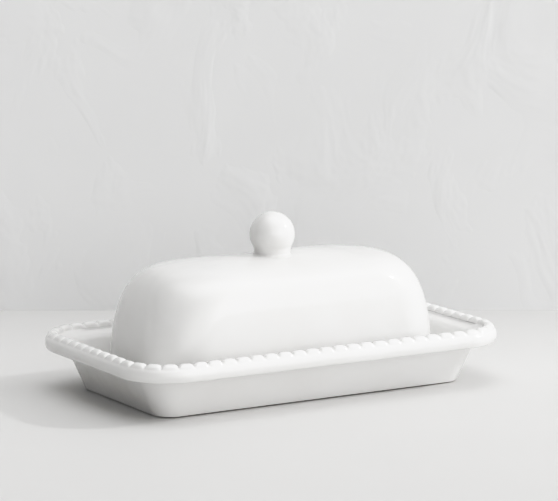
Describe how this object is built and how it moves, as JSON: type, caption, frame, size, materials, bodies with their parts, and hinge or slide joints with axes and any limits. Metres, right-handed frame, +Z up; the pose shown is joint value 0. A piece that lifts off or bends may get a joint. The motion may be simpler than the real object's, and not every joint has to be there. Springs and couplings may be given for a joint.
{
  "type": "covered butter dish",
  "caption": "Rectangular white glazed stoneware butter dish: footed tray with a beaded rim, and a domed lift-off cover with a ball knob.",
  "frame": {"origin": "centre of the foot ring's resting plane", "axes": "+X along the dish's length, +Y across it, +Z up through the knob"},
  "size_m": [0.21, 0.1242, 0.0867],
  "materials": {
    "tray_glaze": "glossy white glaze, thin over the foot",
    "cover_glaze": "glossy white glaze"
  },
  "bodies": {
    "tray": {"tray": "tray_glaze", "bead_border": "tray_glaze"},
    "cover": {"cover": "cover_glaze", "knob": "cover_glaze"}
  },
  "joints": [
    {"name": "cover_lift", "type": "slide", "parent": "tray", "child": "cover", "axis": [0, 0, 1], "range_m": [0, 0.12]}
  ]
}
